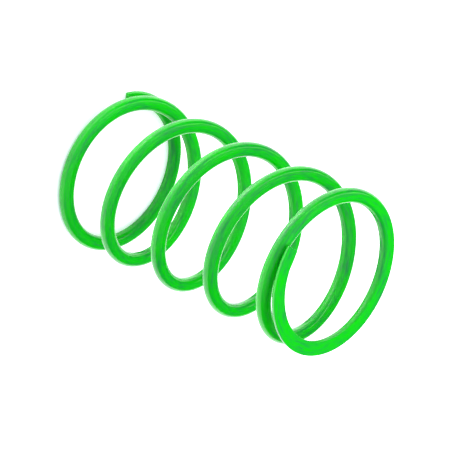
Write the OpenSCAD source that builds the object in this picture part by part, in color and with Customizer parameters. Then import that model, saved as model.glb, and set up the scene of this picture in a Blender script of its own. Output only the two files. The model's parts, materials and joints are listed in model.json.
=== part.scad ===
// Helical compression spring of round wire, wound left-handed.
// Both ends are closed and ground flat, so the spring stands on either end.
// The spring is one continuous wire. Each node is a quarter turn of that wire,
// because a quarter turn is what moves as one when the spring is squeezed.

/* [Wire] */
// Diameter of the round wire
wire_d = 12.5; // [11:0.1:13]
// Thickness left at the tips where the end coils are ground flat
tip_t = 5.5; // [4.5:0.1:6]

/* [Coil] */
// Diameter of the coil, measured between wire centres
mean_d = 130; // [120:1:140]
// Rise of the free coils in one turn
pitch = 60.8; // [58:0.1:66]
// Number of turns, closed end coils included
turns = 5.84; // [5.78:0.01:5.9]

// Gap between each tip and the coil that it lies against
tip_gap = 0.5; // [0.3:0.1:1]

/* [Bottom end] */
// Turns from the bottom tip to where the wire starts to lift away
bottom_closed = 0.74; // [0.7:0.01:0.78]
// Turns over which the bottom coil opens to the full pitch
bottom_rise = 0.36; // [0.32:0.01:0.42]

/* [Top end] */
// Turns from the top tip to where the wire starts to lift away
top_closed = 0.6; // [0.56:0.01:0.63]
// Turns over which the top coil opens to the full pitch
top_rise = 0.7; // [0.66:0.01:0.76]

/* [Detail] */
// Sides of the wire's cross-section
sides = 16; // [12:4:20]
// Cross-sections in each quarter turn
steps = 10; // [6:1:12]

/* [Hidden] */
QUARTERS = ["front_right", "front_left", "back_left", "back_right"];
STRETCHES = 23;

wire_r = wire_d / 2;
mean_r = mean_d / 2;
// Rises in one turn of the closed end coils
bottom_pitch = closed_pitch(bottom_closed, bottom_rise);
top_pitch = closed_pitch(top_closed, top_rise);
// First and last quarter turns whose wire reaches a ground face
bottom_ground_last = 3;
top_ground_first = STRETCHES - 4;
height = centre_z(turns) + wire_r - (wire_d - tip_t);

// Running total of a smooth 0 to 1 ramp that lasts from x = 0 to x = 1
function ramp_sum(x) = x <= 0 ? 0 : x >= 1 ? x - 1 / 2 : pow(x, 3) - pow(x, 4) / 2;
// Smooth 0 to 1 ramp
function ramp(x) = x <= 0 ? 0 : x >= 1 ? 1 : 3 * pow(x, 2) - 2 * pow(x, 3);

// Rise in one turn of a closed end that keeps tip_gap over its tip, one turn along
function closed_pitch(flat, length) = let (lift = length * ramp_sum((1 - flat) / length))
    (wire_d + tip_gap - pitch * lift) / (1 - lift);

// How far the bottom coil has opened at turn t, and how far the top coil has closed
function opened(t) = (t - bottom_closed) / bottom_rise;
function closed(t) = (t - turns + top_closed + top_rise) / top_rise;
// Height of the wire's centre, t turns from the bottom tip
function centre_z(t) = tip_t - wire_r + bottom_pitch * t
    + (pitch - bottom_pitch) * bottom_rise * ramp_sum(opened(t))
    - (pitch - top_pitch) * top_rise * ramp_sum(closed(t));
// Rise of the wire in one turn, at turn t
function rise(t) = bottom_pitch + (pitch - bottom_pitch) * ramp(opened(t)) - (pitch - top_pitch) * ramp(closed(t));
// Half height of the wire's upright section, which its slope makes taller than the wire
function half_height(t) = wire_r * sqrt(1 + pow(rise(t) / (2 * PI * mean_r), 2));

// Point of the wire's surface at turn t, at angle a round its section
function skin(t, a) = let (reach = mean_r + wire_r * cos(a))
    [reach * cos(360 * t), -reach * sin(360 * t), centre_z(t) + half_height(t) * sin(a)];

// Wire from turn t0 to turn t1, with its two end faces in upright planes through the coil's axis
module wire(t0, t1, rings) {
    points = [for (i = [0:rings], j = [0:sides - 1]) skin(t0 + (t1 - t0) * i / rings, 360 * j / sides)];
    walls = [for (i = [0:rings - 1], j = [0:sides - 1])
        let (a = i * sides + j, b = i * sides + (j + 1) % sides)
        each [[a, b, a + sides], [b, b + sides, a + sides]]];
    first_cap = [for (j = [0:sides - 1]) sides - 1 - j];
    last_cap = [for (j = [0:sides - 1]) rings * sides + j];
    polyhedron(points, concat(walls, [first_cap, last_cap]), convexity = 4);
}

// Turns from the bottom tip to the end of stretch k; the last one runs to the top tip
function stretch_end(k) = k == STRETCHES - 1 ? turns : (k + 1) / 4;
// Whole rings that keep the spacing of a quarter turn
function stretch_rings(k) = ceil((stretch_end(k) - k / 4) * 4 * steps);

// Slab that takes away everything below z = 0, or above the spring's height
module ground_away(z) {
    slab = mean_d + 4 * wire_d;
    translate([-slab / 2, -slab / 2, z]) cube([slab, slab, 2 * wire_d]);
}

// Quarter turn that flexes with the spring
module free_stretch(k) {
    color("limegreen") wire(k / 4, stretch_end(k), stretch_rings(k));
}

// Quarter turn of the bottom coil, ground flat underneath
module bottom_stretch(k) {
    color("limegreen") difference() {
        wire(k / 4, stretch_end(k), stretch_rings(k));
        ground_away(-2 * wire_d);
    }
}

// Quarter turn of the top coil, ground flat on top
module top_stretch(k) {
    color("limegreen") difference() {
        wire(k / 4, stretch_end(k), stretch_rings(k));
        ground_away(height);
    }
}

module stretch(k) {
    if (k <= bottom_ground_last) bottom_stretch(k);
    else if (k >= top_ground_first) top_stretch(k);
    else free_stretch(k);
}

for (k = [0:STRETCHES - 1])
    stretch(k);
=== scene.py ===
import json
import math

import bpy
import numpy as np
from bpy.props import FloatProperty, FloatVectorProperty, IntProperty, PointerProperty
from mathutils import Matrix, Vector

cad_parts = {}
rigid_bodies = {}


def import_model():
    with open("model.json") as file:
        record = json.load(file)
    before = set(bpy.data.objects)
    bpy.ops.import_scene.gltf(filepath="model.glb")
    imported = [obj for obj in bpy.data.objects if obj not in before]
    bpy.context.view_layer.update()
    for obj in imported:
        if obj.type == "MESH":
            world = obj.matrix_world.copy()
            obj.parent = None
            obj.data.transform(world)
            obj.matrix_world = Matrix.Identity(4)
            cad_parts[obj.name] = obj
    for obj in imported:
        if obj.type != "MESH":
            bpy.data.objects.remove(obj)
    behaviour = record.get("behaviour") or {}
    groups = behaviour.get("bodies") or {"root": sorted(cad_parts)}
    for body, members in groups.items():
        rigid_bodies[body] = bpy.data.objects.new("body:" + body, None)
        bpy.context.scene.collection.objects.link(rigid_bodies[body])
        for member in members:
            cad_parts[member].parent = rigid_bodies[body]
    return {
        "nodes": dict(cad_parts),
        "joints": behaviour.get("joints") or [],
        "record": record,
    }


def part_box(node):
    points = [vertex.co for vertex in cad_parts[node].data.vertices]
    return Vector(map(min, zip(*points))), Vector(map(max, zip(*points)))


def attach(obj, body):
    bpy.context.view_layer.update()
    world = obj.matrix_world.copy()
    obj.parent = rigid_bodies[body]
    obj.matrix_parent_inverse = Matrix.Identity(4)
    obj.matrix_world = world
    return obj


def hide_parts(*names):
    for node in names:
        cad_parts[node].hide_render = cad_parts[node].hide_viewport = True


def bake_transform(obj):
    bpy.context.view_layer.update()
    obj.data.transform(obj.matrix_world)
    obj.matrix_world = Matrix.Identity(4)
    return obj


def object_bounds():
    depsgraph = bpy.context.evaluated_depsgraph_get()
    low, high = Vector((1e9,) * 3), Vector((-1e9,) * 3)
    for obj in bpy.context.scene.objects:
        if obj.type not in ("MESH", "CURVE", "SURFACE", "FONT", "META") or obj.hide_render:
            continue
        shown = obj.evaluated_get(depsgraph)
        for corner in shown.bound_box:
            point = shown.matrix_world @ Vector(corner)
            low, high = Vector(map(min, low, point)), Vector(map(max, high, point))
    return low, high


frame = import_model()
CAD_LOW, CAD_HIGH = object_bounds()

bl_info = {
    "name": "Coil Spring",
    "version": (1, 0, 0),
    "blender": (4, 5, 0),
    "location": "View3D > Sidebar > Coil Spring",
    "description": "Builds a green coated suspension coil spring around its packed frame",
    "category": "Add Mesh",
}

COAT_NAME = "green_coat"
FLEXES = [joint for joint in frame["joints"] if joint["name"].startswith("flex_")]

# The wire is split into quarter turns, counted up from the bottom tip
QUARTERS_PER_TURN = 4
HALF_QUARTER = 0.5 / QUARTERS_PER_TURN
QUARTER_NAMES = ("front_right", "front_left", "back_left", "back_right")
STRETCH_COUNT = len(frame["nodes"])
# This quarter turn and the next are well clear of both ends
MIDDLE_STRETCH = 10
# The wire's slope depends on its radius, so a few rounds settle both
SETTLING_ROUNDS = 4
# Sides of the wire that can be ground flat, as signs along the coil's axis
BOTTOM, TOP = -1, 1
FULL_TURN = 2 * math.pi


def stretch_node(index):
    """Name of the frame's node for a quarter turn, counted up from the bottom tip."""
    return f"turn_{index // QUARTERS_PER_TURN + 1}_{QUARTER_NAMES[index % QUARTERS_PER_TURN]}"


def chain_of_bodies():
    """The frame's bodies from the bottom end to the top end, following the joints."""
    above = {joint["parent"]: joint["child"] for joint in FLEXES}
    carried = set(above.values())
    body = next(name for name in above if name not in carried)
    chain = [body]
    while body in above:
        body = above[body]
        chain.append(body)
    return chain


def measured_sizes():
    """Wire radius, mean coil radius and free pitch, from the boxes of two free quarter turns."""
    low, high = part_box(stretch_node(MIDDLE_STRETCH))
    next_low, next_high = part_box(stretch_node(MIDDLE_STRETCH + 1))
    quarter_rise = (next_low.z + next_high.z - low.z - high.z) / 2
    pitch = quarter_rise * QUARTERS_PER_TURN
    half_height = (high.z - low.z - quarter_rise) / 2
    wire_r = half_height
    for _ in range(SETTLING_ROUNDS):
        slope = pitch / (FULL_TURN * (CAD_HIGH.x - wire_r))
        wire_r = half_height / math.hypot(1, slope)
    return wire_r, CAD_HIGH.x - wire_r, pitch


WIRE_R, COIL_R, PITCH = measured_sizes()


# ---------------------------------------------------------------------------------------------
# Sizes and looks that a user would change


class SpringSizes(bpy.types.PropertyGroup):
    """Sizes of the wire and the coil."""

    wire_radius: FloatProperty(
        name="Wire radius",
        description="Radius of the round wire over its coating",
        default=WIRE_R,
        unit="LENGTH",
    )
    coil_radius: FloatProperty(
        name="Coil radius",
        description="From the coil's axis to the wire's centre",
        default=COIL_R,
        unit="LENGTH",
    )
    pitch: FloatProperty(
        name="Pitch",
        description="Rise of the free coils in one turn",
        default=PITCH,
        unit="LENGTH",
    )
    height: FloatProperty(
        name="Free height",
        description="Height between the two ground faces",
        default=CAD_HIGH.z - CAD_LOW.z,
        unit="LENGTH",
    )
    turns: FloatProperty(
        name="Turns",
        description="Number of turns, closed end coils included",
        default=5.84,
    )
    tip_thickness: FloatProperty(
        name="Tip thickness",
        description="Thickness left at the tips where the end coils are ground flat",
        default=0.0055,
        unit="LENGTH",
    )
    tip_gap: FloatProperty(
        name="Tip gap",
        description="Gap between each tip and the coil that it lies against",
        default=0.0005,
        unit="LENGTH",
    )
    bottom_closed: FloatProperty(
        name="Bottom closed",
        description="Turns from the bottom tip to where the wire starts to lift away",
        default=0.74,
    )
    bottom_rise: FloatProperty(
        name="Bottom rise",
        description="Turns over which the bottom coil opens to the full pitch",
        default=0.36,
    )
    top_closed: FloatProperty(
        name="Top closed",
        description="Turns from the top tip to where the wire starts to lift away",
        default=0.6,
    )
    top_rise: FloatProperty(
        name="Top rise",
        description="Turns over which the top coil opens to the full pitch",
        default=0.7,
    )
    edge_radius: FloatProperty(
        name="Edge radius",
        description="Rounding of the coated edges round the ground faces and the cut tips",
        default=0.0005,
        unit="LENGTH",
    )
    rings: IntProperty(
        name="Rings",
        description="Cross-sections in a quarter turn",
        default=24,
    )


class CoatLook(bpy.types.PropertyGroup):
    """Colours and finish of the baked green coating."""

    bright: FloatVectorProperty(
        name="Bright green",
        description="Colour of the coating where it lies thick",
        subtype="COLOR",
        default=(0.001, 0.43, 0.001),
    )
    cool: FloatVectorProperty(
        name="Cool green",
        description="Colour of the thinner streaks along the wire",
        subtype="COLOR",
        default=(0.008, 0.215, 0.036),
    )
    roughness: FloatProperty(
        name="Roughness",
        description="Mean roughness of the coating",
        default=0.17,
    )
    peel_size: FloatProperty(
        name="Peel size",
        description="Width of the coating's orange peel dimples",
        default=0.0016,
        unit="LENGTH",
    )
    peel_depth: FloatProperty(
        name="Peel depth",
        description="Depth of the orange peel dimples",
        default=0.000012,
        unit="LENGTH",
    )


class StageLook(bpy.types.PropertyGroup):
    """Floor and lights."""

    floor_colour: FloatVectorProperty(
        name="Floor",
        description="Colour of the pale floor",
        subtype="COLOR",
        default=(0.95, 0.95, 0.95),
    )
    floor_glow: FloatProperty(
        name="Floor glow",
        description="Light that the floor gives by itself, as a light table does",
        default=0.35,
    )
    sky_dim: FloatVectorProperty(
        name="Dim sky",
        description="Colour of the far side of the sky",
        subtype="COLOR",
        default=(0.03, 0.04, 0.045),
    )
    sky_bright: FloatVectorProperty(
        name="Bright sky",
        description="Colour of the side of the sky behind the camera",
        subtype="COLOR",
        default=(0.65, 0.72, 1.0),
    )
    key_strength: FloatProperty(
        name="Key strength",
        description="Strength of the wide light from behind",
        default=4.7,
    )
    side_strength: FloatProperty(
        name="Side strength",
        description="Strength of the two wide lights from the sides",
        default=0.45,
    )
    strip_power: FloatProperty(
        name="Strip power",
        description="Power of the slim softbox that draws a streak along the wire",
        default=3.8,
        unit="POWER",
    )
    pool_power: FloatProperty(
        name="Pool power",
        description="Power of the light that brightens the floor beside the spring",
        default=0.9,
        unit="POWER",
    )


# ---------------------------------------------------------------------------------------------
# The wire


def ramp(x):
    """Smooth 0 to 1 ramp."""
    x = np.clip(x, 0, 1)
    return 3 * x**2 - 2 * x**3


def ramp_sum(x):
    """Running total of ramp, from x = 0."""
    x = np.asarray(x, float)
    inside = np.clip(x, 0, 1)
    return inside**3 - inside**4 / 2 + np.maximum(x - 1, 0)


class Wire:
    """The wire's centre line and cross-sections, t turns from the bottom tip."""

    # Points along half a section: on the ground face, round its edge, and round the rest
    FLAT, EDGE, ROUND = 4, 4, 22
    # Turns before a ground face over which the section's points gather for its edge
    GATHER = 0.06
    # Share of their even spread that the gathered points keep
    LEAST_SPREAD = 0.02
    # Places tried in one turn to find where a ground face starts
    SEARCH_POINTS = 2001

    def __init__(self, sizes):
        self.r = sizes.wire_radius
        self.coil_r = sizes.coil_radius
        self.pitch = sizes.pitch
        self.height = sizes.height
        self.turns = sizes.turns
        self.edge_r = sizes.edge_radius
        self.first_z = sizes.tip_thickness - self.r
        self.gap = sizes.tip_gap
        self.bottom = (sizes.bottom_closed, sizes.bottom_rise)
        self.top = (sizes.top_closed, sizes.top_rise)
        self.bottom_pitch = self.closed_pitch(*self.bottom)
        self.top_pitch = self.closed_pitch(*self.top)

    def closed_pitch(self, flat, length):
        """Rise in one turn of a closed end that keeps the gap over its tip, one turn along."""
        lift = length * float(ramp_sum((1 - flat) / length))
        return (2 * self.r + self.gap - self.pitch * lift) / (1 - lift)

    def opened(self, t):
        """Share of the way from the closed bottom coil to the full pitch."""
        return (t - self.bottom[0]) / self.bottom[1]

    def closed(self, t):
        """Share of the way from the full pitch to the closed top coil."""
        return (t - self.turns + sum(self.top)) / self.top[1]

    def centre_z(self, t):
        """Height of the wire's centre."""
        bottom = (self.pitch - self.bottom_pitch) * self.bottom[1] * ramp_sum(self.opened(t))
        top = (self.pitch - self.top_pitch) * self.top[1] * ramp_sum(self.closed(t))
        return self.first_z + self.bottom_pitch * t + bottom - top

    def rise(self, t):
        """Rise of the wire in one turn."""
        bottom = (self.pitch - self.bottom_pitch) * ramp(self.opened(t))
        return self.bottom_pitch + bottom - (self.pitch - self.top_pitch) * ramp(self.closed(t))

    def along(self, t):
        """Level direction in which the wire runs as t grows."""
        angle = -FULL_TURN * t
        return Vector((math.sin(angle), -math.cos(angle), 0))

    def ground_plane(self, side):
        """Height of the ground face on one side."""
        return 0 if side == BOTTOM else self.height

    def ground_start(self, side):
        """Turn at which the ground face on one side meets the round wire."""
        steps = np.linspace(0, 1, self.SEARCH_POINTS)
        t = steps if side == BOTTOM else self.turns - steps
        depth = side * (self.ground_plane(side) - self.centre_z(t)) - self.r
        return t[np.argmax(depth > 0)]

    def even_spread(self):
        """Angle that the points of the flat and its edge take up where the wire is whole."""
        return math.pi * (self.FLAT + self.EDGE) / (self.FLAT + self.EDGE + self.ROUND)

    def half_section(self, t, side):
        """Half of the section at turn t, from the point nearest the ground face to the far one.

        Each row holds the outward offset, the offset towards the face, the same two of the
        normal, the share of the wire's slope that the normal follows, and the angle that the
        point stands for.
        """
        squash = math.hypot(1, float(self.rise(t)) / (FULL_TURN * self.coil_r))
        depth = side * (self.ground_plane(side) - float(self.centre_z(t))) / squash
        flat, edge, rest = self.FLAT, self.EDGE, self.ROUND
        rows = []
        if depth < self.r:
            level = depth - self.edge_r
            corner = math.sqrt(max((self.r - self.edge_r) ** 2 - level**2, 0))
            meet = math.atan2(corner, level)
            for i in range(flat):
                rows.append((corner * i / flat, depth, 0, 1, 0, meet * i / (flat + edge)))
            for i in range(edge):
                turn = meet * i / edge
                out = corner + self.edge_r * math.sin(turn)
                near = level + self.edge_r * math.cos(turn)
                place = meet * (flat + i) / (flat + edge)
                rows.append((out, near, math.sin(turn), math.cos(turn), i / edge, place))
            turns = []
        else:
            gone = side * (self.ground_start(side) - t) / self.GATHER
            meet = self.even_spread() * max(float(ramp(gone)), self.LEAST_SPREAD)
            turns = [meet * i / (flat + edge) for i in range(flat + edge)]
        turns += [meet + (math.pi - meet) * i / rest for i in range(rest + 1)]
        for turn in turns:
            out, near = math.sin(turn), math.cos(turn)
            rows.append((self.r * out, self.r * near, out, near, 1, turn))
        rows = np.array(rows)
        rows[:, 1] *= squash
        return rows

    def section(self, t, side):
        """The whole section at turn t, anticlockwise round the way the wire runs.

        Gives its points, their normals and their angles round the wire as shares of a turn.
        """
        half = self.half_section(t, side)
        back = half[-2:0:-1] * np.array([-1, 1, -1, 1, 1, -1])
        out, near, n_out, n_near, follow, angle = np.vstack([half, back]).T
        # The ring starts outwards on the bottom side, and inwards on the top side
        out, n_out = -side * out, -side * n_out
        up, n_up = side * near, side * n_near
        first = math.pi if side == TOP else 0
        around = (angle % FULL_TURN + first) / FULL_TURN
        swing = -FULL_TURN * t
        reach = (self.coil_r + out)[:, None]
        outward = np.array([math.cos(swing), math.sin(swing), 0])
        sideways = np.array([-math.sin(swing), math.cos(swing), 0])
        upright = np.array([0, 0, 1])
        points = reach * outward + (self.centre_z(t) + up)[:, None] * upright
        n_side = n_up * follow * float(self.rise(t)) / (FULL_TURN * reach[:, 0])
        normals = n_out[:, None] * outward + n_side[:, None] * sideways + n_up[:, None] * upright
        return points, normals / np.linalg.norm(normals, axis=1)[:, None], around


class Stretch:
    """One closed length of the wire, built ring by ring."""

    TIP_RINGS = 5
    # Rounding of the cut tips, as a share of the edge radius
    TIP_ROUNDING = 0.8

    def __init__(self, wire, t0, t1, side, rings):
        self.wire = wire
        self.points, self.normals, self.along, self.around = [], [], [], []
        self.tip_r = wire.edge_r * self.TIP_ROUNDING
        round_off = self.tip_r / (FULL_TURN * wire.coil_r)
        at_start, at_end = t0 <= 0, t1 >= wire.turns
        first = t0 + round_off if at_start else t0
        last = t1 - round_off if at_end else t1
        if at_start:
            self.add_tip(first, side, -1)
        for t in np.linspace(first, last, rings + 1):
            self.add(wire.section(t, side), t)
        if at_end:
            self.add_tip(last, side, 1)
        self.ends = (-wire.along(t0), wire.along(t1))

    def add(self, ring, t):
        """Adds a ring of points at turn t."""
        points, normals, around = ring
        self.points.append(points)
        self.normals.append(normals)
        self.around.append(around)
        self.along.append(np.full(len(points), FULL_TURN * self.wire.coil_r * t))

    def add_tip(self, t, side, way):
        """Rings that round off the cut end of the wire."""
        points, normals, around = self.wire.section(t, side)
        outward = np.array(self.wire.along(t)) * way
        inset = normals - (normals @ outward)[:, None] * outward
        turns = np.linspace(0, math.pi / 2, self.TIP_RINGS + 1)[1:]
        for turn in turns if way > 0 else turns[::-1]:
            moved = points - self.tip_r * (1 - math.cos(turn)) * inset
            moved = moved + self.tip_r * math.sin(turn) * outward
            turned = math.cos(turn) * inset + math.sin(turn) * outward
            self.add((moved, turned, around), t)

    def mesh(self, name):
        """Mesh with its own normals and a map of metres along and turns round the wire."""
        rings, size = len(self.points), len(self.points[0])
        points = np.concatenate(self.points)
        faces, corner_normals, corner_map = [], [], []
        for i in range(rings - 1):
            for j in range(size):
                k = (j + 1) % size
                corners = ((i, j), (i, k), (i + 1, k), (i + 1, j))
                faces.append([row * size + column for row, column in corners])
                wrap = self.around[i][0] + 1
                for row, column in corners:
                    corner_normals.append(self.normals[row][column])
                    share = wrap if k == 0 and column == 0 else self.around[row][column]
                    corner_map.append((self.along[row][column], share))
        for row, end in ((0, self.ends[0]), (rings - 1, self.ends[1])):
            columns = list(range(size))
            if row == 0:
                columns.reverse()
            faces.append([row * size + column for column in columns])
            corner_normals += [end] * size
            along, around = self.along[row], self.around[row]
            corner_map += [(along[column], around[column]) for column in columns]
        mesh = bpy.data.meshes.new(name)
        mesh.from_pydata(points.tolist(), [], faces)
        if mesh.validate():
            raise RuntimeError(f"{name} has faces with no area")
        mesh.polygons.foreach_set("use_smooth", [True] * len(faces))
        layer = mesh.uv_layers.new(name="wire")
        layer.data.foreach_set("uv", np.array(corner_map, np.float32).ravel())
        mesh.normals_split_custom_set([tuple(normal) for normal in corner_normals])
        return mesh


# ---------------------------------------------------------------------------------------------
# Materials


class Value:
    """A node's output that can be used in a Python expression; each operator adds a Math node."""

    def __init__(self, tree, socket):
        self.tree = tree
        self.socket = socket

    def math(self, operation, *others, flip=False):
        """A Math node on this value and the others, which come first if flipped."""
        terms = [*others, self] if flip else [self, *others]
        return self.tree.add("Math", {"operation": operation}, dict(enumerate(terms))).out()

    def __add__(self, other):
        return self.math("ADD", other)

    def __radd__(self, other):
        return self.math("ADD", other, flip=True)

    def __sub__(self, other):
        return self.math("SUBTRACT", other)

    def __rsub__(self, other):
        return self.math("SUBTRACT", other, flip=True)

    def __mul__(self, other):
        return self.math("MULTIPLY", other)

    def __rmul__(self, other):
        return self.math("MULTIPLY", other, flip=True)

    def cos(self):
        return self.math("COSINE")

    def sin(self):
        return self.math("SINE")


class Node:
    """A node that has been added to a tree."""

    def __init__(self, tree, node):
        self.tree = tree
        self.node = node

    def out(self, name=0):
        """One of the node's outputs, the first unless named."""
        return Value(self.tree, self.node.outputs[name])


class Tree:
    """The nodes of a material or a world, all added by one method."""

    # The Mix node's colour sockets share their names with its number sockets
    MIX_FACTOR, MIX_A, MIX_B, MIX_RESULT = 0, 6, 7, 2

    def __init__(self, owner):
        self.owner = owner
        owner.use_nodes = True
        self.nodes = owner.node_tree.nodes
        self.links = owner.node_tree.links
        self.nodes.clear()

    def add(self, kind, settings=None, inputs=None):
        """Adds a node: its type, then its settings, then the values or links of its sockets."""
        node = self.nodes.new("ShaderNode" + kind)
        for name, value in (settings or {}).items():
            setattr(node, name, value)
        for name, value in (inputs or {}).items():
            if isinstance(value, Value):
                self.links.new(value.socket, node.inputs[name])
            else:
                node.inputs[name].default_value = value
        return Node(self, node)

    def mix_colour(self, factor, first, second):
        """A colour between two others."""
        inputs = {self.MIX_FACTOR: factor, self.MIX_A: first, self.MIX_B: second}
        return self.add("Mix", {"data_type": "RGBA"}, inputs).out(self.MIX_RESULT)

    def smooth_share(self, value, low, high):
        """Smooth 0 to 1 share of a value between two limits."""
        inputs = {"Value": value, "From Min": low, "From Max": high}
        return self.add("MapRange", {"interpolation_type": "SMOOTHSTEP"}, inputs).out()

    def finish(self, output, shader):
        """Links the shader to the output node and gives back the material or world."""
        self.add(output, None, {"Surface": shader})
        return self.owner


def opaque(colour):
    """A colour with full alpha."""
    return (*colour, 1.0)


# Patterns of the coating: width in metres, how many times longer they are along the wire,
# noise detail, and an offset in metres that keeps them apart
STREAKS = {"width": 0.0015, "stretch": 8, "detail": 3, "offset": 0.0}
CLOUDS = {"width": 0.014, "stretch": 3, "detail": 2, "offset": 0.3}
PEEL = {"stretch": 1, "detail": 1, "offset": 0.7}
LINES = {"width": 0.0006, "stretch": 60, "detail": 2, "offset": 1.1}
# Share of the clouds in the two greens, and the limits between which one green turns to the other
CLOUD_SHARE = 0.4
GREEN_LIMITS = (0.4, 0.72)
# How far the streaks swing the roughness, and the depth of the lines beside the peel's
GLOSS_SWING = 0.12
LINE_DEPTH = 0.35
COAT_IOR = 1.45

FLOOR_ROUGHNESS = 0.9
# Patches to a metre in the floor, and how much darker they are
FLOOR_PATCHES = 6.0
FLOOR_PATCH_SHADE = 0.985
# Limits, as the cosine of the angle off its brightest side, between which the sky dims
SKY_LIMITS = (-0.1, 0.9)


def coat_material(look, wire_radius):
    """Glossy green powder coat: streaks along the wire, orange peel and a slightly uneven gloss."""
    tree = Tree(bpy.data.materials.new(COAT_NAME))
    place = tree.add("SeparateXYZ", None, {0: tree.add("UVMap", {"uv_map": "wire"}).out()})
    along = place.out("X")
    turn = place.out("Y") * FULL_TURN
    across = turn.cos() * wire_radius
    upright = turn.sin() * wire_radius

    def noise(width, stretch, detail, offset):
        """Noise that runs along the wire."""
        inputs = {0: across + offset, 1: upright, 2: along * (1 / stretch)}
        vector = tree.add("CombineXYZ", None, inputs).out()
        inputs = {"Vector": vector, "Scale": 1 / width, "Detail": detail}
        return tree.add("TexNoise", None, inputs).out("Fac")

    streaks = noise(**STREAKS)
    clouds = noise(**CLOUDS)
    peel = noise(look.peel_size, **PEEL)
    lines = noise(**LINES)

    share = tree.smooth_share(streaks * (1 - CLOUD_SHARE) + clouds * CLOUD_SHARE, *GREEN_LIMITS)
    colour = tree.mix_colour(share, opaque(look.bright), opaque(look.cool))
    roughness = look.roughness - (0.5 - streaks) * GLOSS_SWING
    height = peel + lines * LINE_DEPTH
    inputs = {"Height": height, "Strength": 1.0, "Distance": look.peel_depth}
    normal = tree.add("Bump", None, inputs).out()
    inputs = {"Base Color": colour, "Roughness": roughness, "Normal": normal, "IOR": COAT_IOR}
    shader = tree.add("BsdfPrincipled", None, inputs)
    return tree.finish("OutputMaterial", shader.out())


def floor_material(look):
    """Matt pale floor with faint broad patches."""
    tree = Tree(bpy.data.materials.new("pale_floor"))
    position = tree.add("TexCoord").out("Object")
    inputs = {"Vector": position, "Scale": FLOOR_PATCHES}
    patches = tree.add("TexNoise", None, inputs).out("Fac")
    darker = tuple(FLOOR_PATCH_SHADE * part for part in look.floor_colour)
    colour = tree.mix_colour(patches, opaque(look.floor_colour), opaque(darker))
    inputs = {
        "Base Color": colour,
        "Roughness": FLOOR_ROUGHNESS,
        "Emission Color": opaque(look.floor_colour),
        "Emission Strength": look.floor_glow,
    }
    shader = tree.add("BsdfPrincipled", None, inputs)
    return tree.finish("OutputMaterial", shader.out())


def sky_world(look, way):
    """Dim sky that grows brighter and cooler towards one side."""
    tree = Tree(bpy.data.worlds.new("soft_sky"))
    ray = tree.add("TexCoord").out("Generated")
    facing = tree.add("VectorMath", {"operation": "DOT_PRODUCT"}, {0: ray, 1: way}).out("Value")
    share = tree.smooth_share(facing, *SKY_LIMITS)
    colour = tree.mix_colour(share, opaque(look.sky_dim), opaque(look.sky_bright))
    background = tree.add("Background", None, {"Color": colour})
    return tree.finish("OutputWorld", background.out())


# ---------------------------------------------------------------------------------------------
# Operators


def coat():
    """The coating's material, made once."""
    made = bpy.data.materials.get(COAT_NAME)
    if made:
        return made
    scene = bpy.context.scene
    return coat_material(scene.spring_coat, scene.spring_sizes.wire_radius)


def add_stretch(name, t0, t1, side, nodes):
    """Adds one length of coated wire and hides the frame's nodes that it stands for."""
    sizes = bpy.context.scene.spring_sizes
    wire = Wire(sizes)
    rings = round((t1 - t0) * QUARTERS_PER_TURN * sizes.rings)
    mesh = Stretch(wire, t0, t1, side, rings).mesh(name)
    mesh.materials.append(coat())
    piece = bpy.data.objects.new(name, mesh)
    bpy.context.scene.collection.objects.link(piece)
    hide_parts(*nodes)
    return piece, wire


def first_flex():
    """Turn at which the bottom end's body meets the first free quarter turn."""
    bottom = chain_of_bodies()[0]
    return len(frame["record"]["behaviour"]["bodies"][bottom]) / QUARTERS_PER_TURN


def last_flex():
    """Turn at which the last free quarter turn meets the top end's body."""
    return first_flex() + (len(FLEXES) - 1) / QUARTERS_PER_TURN


def nodes_between(t0, t1):
    """Names of the frame's nodes from one seam between quarter turns up to another."""
    indices = range(round(t0 * QUARTERS_PER_TURN), round(t1 * QUARTERS_PER_TURN))
    return [stretch_node(index) for index in indices]


class SPRING_OT_bottom_end(bpy.types.Operator):
    """Build the bottom end coil, ground flat underneath"""

    bl_idname = "spring.bottom_end"
    bl_label = "Bottom end coil"

    def execute(self, context):
        end = first_flex() - HALF_QUARTER
        nodes = nodes_between(0, first_flex())
        piece, _ = add_stretch("bottom_end_coil", 0, end, BOTTOM, nodes)
        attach(piece, chain_of_bodies()[0])
        return {"FINISHED"}


class SPRING_OT_free_coils(bpy.types.Operator):
    """Build the free coils as quarter turns, each centred where two bodies meet"""

    bl_idname = "spring.free_coils"
    bl_label = "Free coils"

    SEAM_MARGIN = 0.999

    def execute(self, context):
        chain = chain_of_bodies()
        for number, (below, above) in enumerate(zip(chain, chain[1:]), 1):
            middle = first_flex() + (number - 1) / QUARTERS_PER_TURN
            start, end = middle - HALF_QUARTER, middle + HALF_QUARTER
            nodes = nodes_between(middle - 1 / QUARTERS_PER_TURN, middle + 1 / QUARTERS_PER_TURN)
            name = f"free_quarter_{number:02d}"
            piece, wire = add_stretch(name, start, end, BOTTOM, nodes)
            way = wire.along(middle)
            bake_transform(piece)
        return {"FINISHED"}


class SPRING_OT_top_end(bpy.types.Operator):
    """Build the top end coil, ground flat on top"""

    bl_idname = "spring.top_end"
    bl_label = "Top end coil"

    def execute(self, context):
        turns = context.scene.spring_sizes.turns
        start = last_flex() + HALF_QUARTER
        nodes = nodes_between(last_flex(), STRETCH_COUNT / QUARTERS_PER_TURN)
        piece, _ = add_stretch("top_end_coil", start, turns, TOP, nodes)
        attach(piece, chain_of_bodies()[-1])
        return {"FINISHED"}


def direction(around, above):
    """Unit vector at an angle round the spring's axis and an angle above the floor."""
    level = math.cos(above)
    return Vector((math.cos(around) * level, math.sin(around) * level, math.sin(above)))


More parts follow.
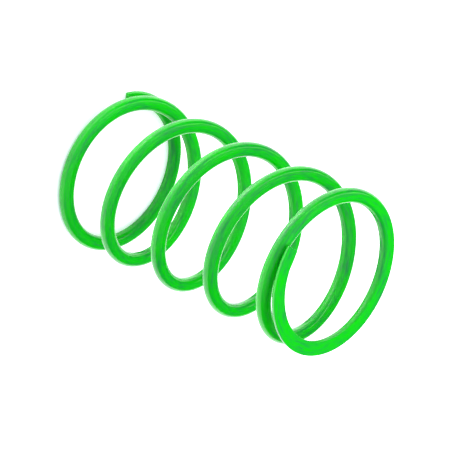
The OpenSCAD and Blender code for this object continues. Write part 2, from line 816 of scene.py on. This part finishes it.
class SPRING_OT_stage(bpy.types.Operator):
    """Add the pale floor, the soft lights and the camera"""

    bl_idname = "spring.stage"
    bl_label = "Stage"

    # Where the camera stands, seen from the middle of the spring
    CAMERA_AROUND = math.radians(60.548)
    CAMERA_ABOVE = math.radians(38.38)
    CAMERA_DISTANCE = 2.6877
    # How far it is rolled, and moved along its own right and up
    CAMERA_ROLL = math.radians(115.563)
    CAMERA_RIGHT = 0.0049
    CAMERA_UP = -0.0079
    LENS = 253.63
    SENSOR = 36.0
    CLIP_END = 100
    FLOOR_RADIUS = 12.0
    FLOOR_SIDES = 96
    FLOOR_DROP = 0.0002
    # Directions of the lights, round the spring's axis and above the floor
    KEY_FROM = (math.radians(-120), math.radians(60))
    RIGHT_FROM = (0, math.radians(48))
    LEFT_FROM = (math.radians(130), math.radians(48))
    STRIP_FROM = (math.radians(-30), math.radians(36))
    SKY_FROM = (math.radians(62), math.radians(36))
    SUN_WIDTH = math.radians(80)
    STRIP_SIZE = (2.4, 0.12)
    STRIP_DISTANCE = 1.3
    # A light low over the floor, whose pool is what the coils' edges reflect
    POOL_PLACE = Vector((0.55, 0.2, 0.5))
    POOL_AIM = Vector((0.3, 0.13, 0))
    POOL_SIZE = (0.1, 0.1)
    POOL_SPREAD = math.radians(40)

    def execute(self, context):
        look = context.scene.spring_stage
        context.scene.view_settings.view_transform = "Standard"
        middle = (CAD_LOW + CAD_HIGH) / 2
        back = direction(self.CAMERA_AROUND, self.CAMERA_ABOVE)
        level = Vector((0, 0, 1)).cross(back).normalized()
        upright = back.cross(level)
        right = upright * math.sin(self.CAMERA_ROLL) + level * math.cos(self.CAMERA_ROLL)
        up = back.cross(right)
        self.add_camera(context, middle, right, up, back)
        self.add_floor(context, look)
        self.add_lights(context, look, middle)
        return {"FINISHED"}

    def add_camera(self, context, middle, right, up, back):
        data = bpy.data.cameras.new("camera")
        data.lens = self.LENS
        data.sensor_width = self.SENSOR
        data.clip_end = self.CLIP_END
        camera = bpy.data.objects.new("camera", data)
        place = middle + back * self.CAMERA_DISTANCE
        place += right * self.CAMERA_RIGHT + up * self.CAMERA_UP
        turn = Matrix((right, up, back)).transposed().to_4x4()
        camera.matrix_world = Matrix.Translation(place) @ turn
        context.scene.collection.objects.link(camera)
        context.scene.camera = camera

    def add_floor(self, context, look):
        mesh = bpy.data.meshes.new("floor")
        corners = range(self.FLOOR_SIDES)
        rim = [direction(FULL_TURN * i / self.FLOOR_SIDES, 0) for i in corners]
        mesh.from_pydata([self.FLOOR_RADIUS * corner for corner in rim], [], [list(corners)])
        mesh.materials.append(floor_material(look))
        floor = bpy.data.objects.new("floor", mesh)
        floor.location.z = CAD_LOW.z - self.FLOOR_DROP
        context.scene.collection.objects.link(floor)

    def add_lights(self, context, look, middle):
        context.scene.world = sky_world(look, direction(*self.SKY_FROM))
        self.add_sun(context, "key_light", direction(*self.KEY_FROM), look.key_strength)
        self.add_sun(context, "right_light", direction(*self.RIGHT_FROM), look.side_strength)
        self.add_sun(context, "left_light", direction(*self.LEFT_FROM), look.side_strength)
        place = middle + direction(*self.STRIP_FROM) * self.STRIP_DISTANCE
        strip = self.add_softbox(context, "strip_light", place, middle, self.STRIP_SIZE)
        strip.data.energy = look.strip_power
        pool = self.add_softbox(
            context, "pool_light", self.POOL_PLACE, self.POOL_AIM, self.POOL_SIZE
        )
        pool.data.energy = look.pool_power
        pool.data.spread = self.POOL_SPREAD
        pool.visible_glossy = False

    def add_lamp(self, context, data, place, way):
        lamp = bpy.data.objects.new(data.name, data)
        lamp.location = place
        lamp.rotation_mode = "QUATERNION"
        lamp.rotation_quaternion = way.to_track_quat("Z", "Y")
        context.scene.collection.objects.link(lamp)
        return lamp

    def add_sun(self, context, name, way, strength):
        """A wide, even light that shows in no reflection."""
        data = bpy.data.lights.new(name, "SUN")
        data.energy = strength
        data.angle = self.SUN_WIDTH
        lamp = self.add_lamp(context, data, way, way)
        lamp.visible_glossy = False

    def add_softbox(self, context, name, place, aim, size):
        """A flat light that faces its aim, with its long side level."""
        data = bpy.data.lights.new(name, "AREA")
        data.shape = "RECTANGLE"
        data.size, data.size_y = size
        return self.add_lamp(context, data, place, place - aim)


class SPRING_PT_panel(bpy.types.Panel):
    """Lists the spring's pieces and sizes"""

    bl_label = "Coil Spring"
    bl_space_type = "VIEW_3D"
    bl_region_type = "UI"
    bl_category = "Coil Spring"

    def draw(self, context):
        layout = self.layout
        for operator in OPERATORS:
            layout.operator(operator.bl_idname)
        scene = context.scene
        for group in (scene.spring_sizes, scene.spring_coat, scene.spring_stage):
            box = layout.box()
            for name in group.__annotations__:
                box.prop(group, name)


OPERATORS = (SPRING_OT_bottom_end, SPRING_OT_free_coils, SPRING_OT_top_end, SPRING_OT_stage)
CLASSES = (SpringSizes, CoatLook, StageLook, *OPERATORS, SPRING_PT_panel)


def register():
    for made in CLASSES:
        bpy.utils.register_class(made)
    bpy.types.Scene.spring_sizes = PointerProperty(type=SpringSizes)
    bpy.types.Scene.spring_coat = PointerProperty(type=CoatLook)
    bpy.types.Scene.spring_stage = PointerProperty(type=StageLook)


def unregister():
    del bpy.types.Scene.spring_stage
    del bpy.types.Scene.spring_coat
    del bpy.types.Scene.spring_sizes
    for made in reversed(CLASSES):
        bpy.utils.unregister_class(made)


def main():
    register()
    bpy.ops.spring.bottom_end()
    bpy.ops.spring.free_coils()
    bpy.ops.spring.top_end()
    bpy.ops.spring.stage()


if __name__ == "__main__":
    main()
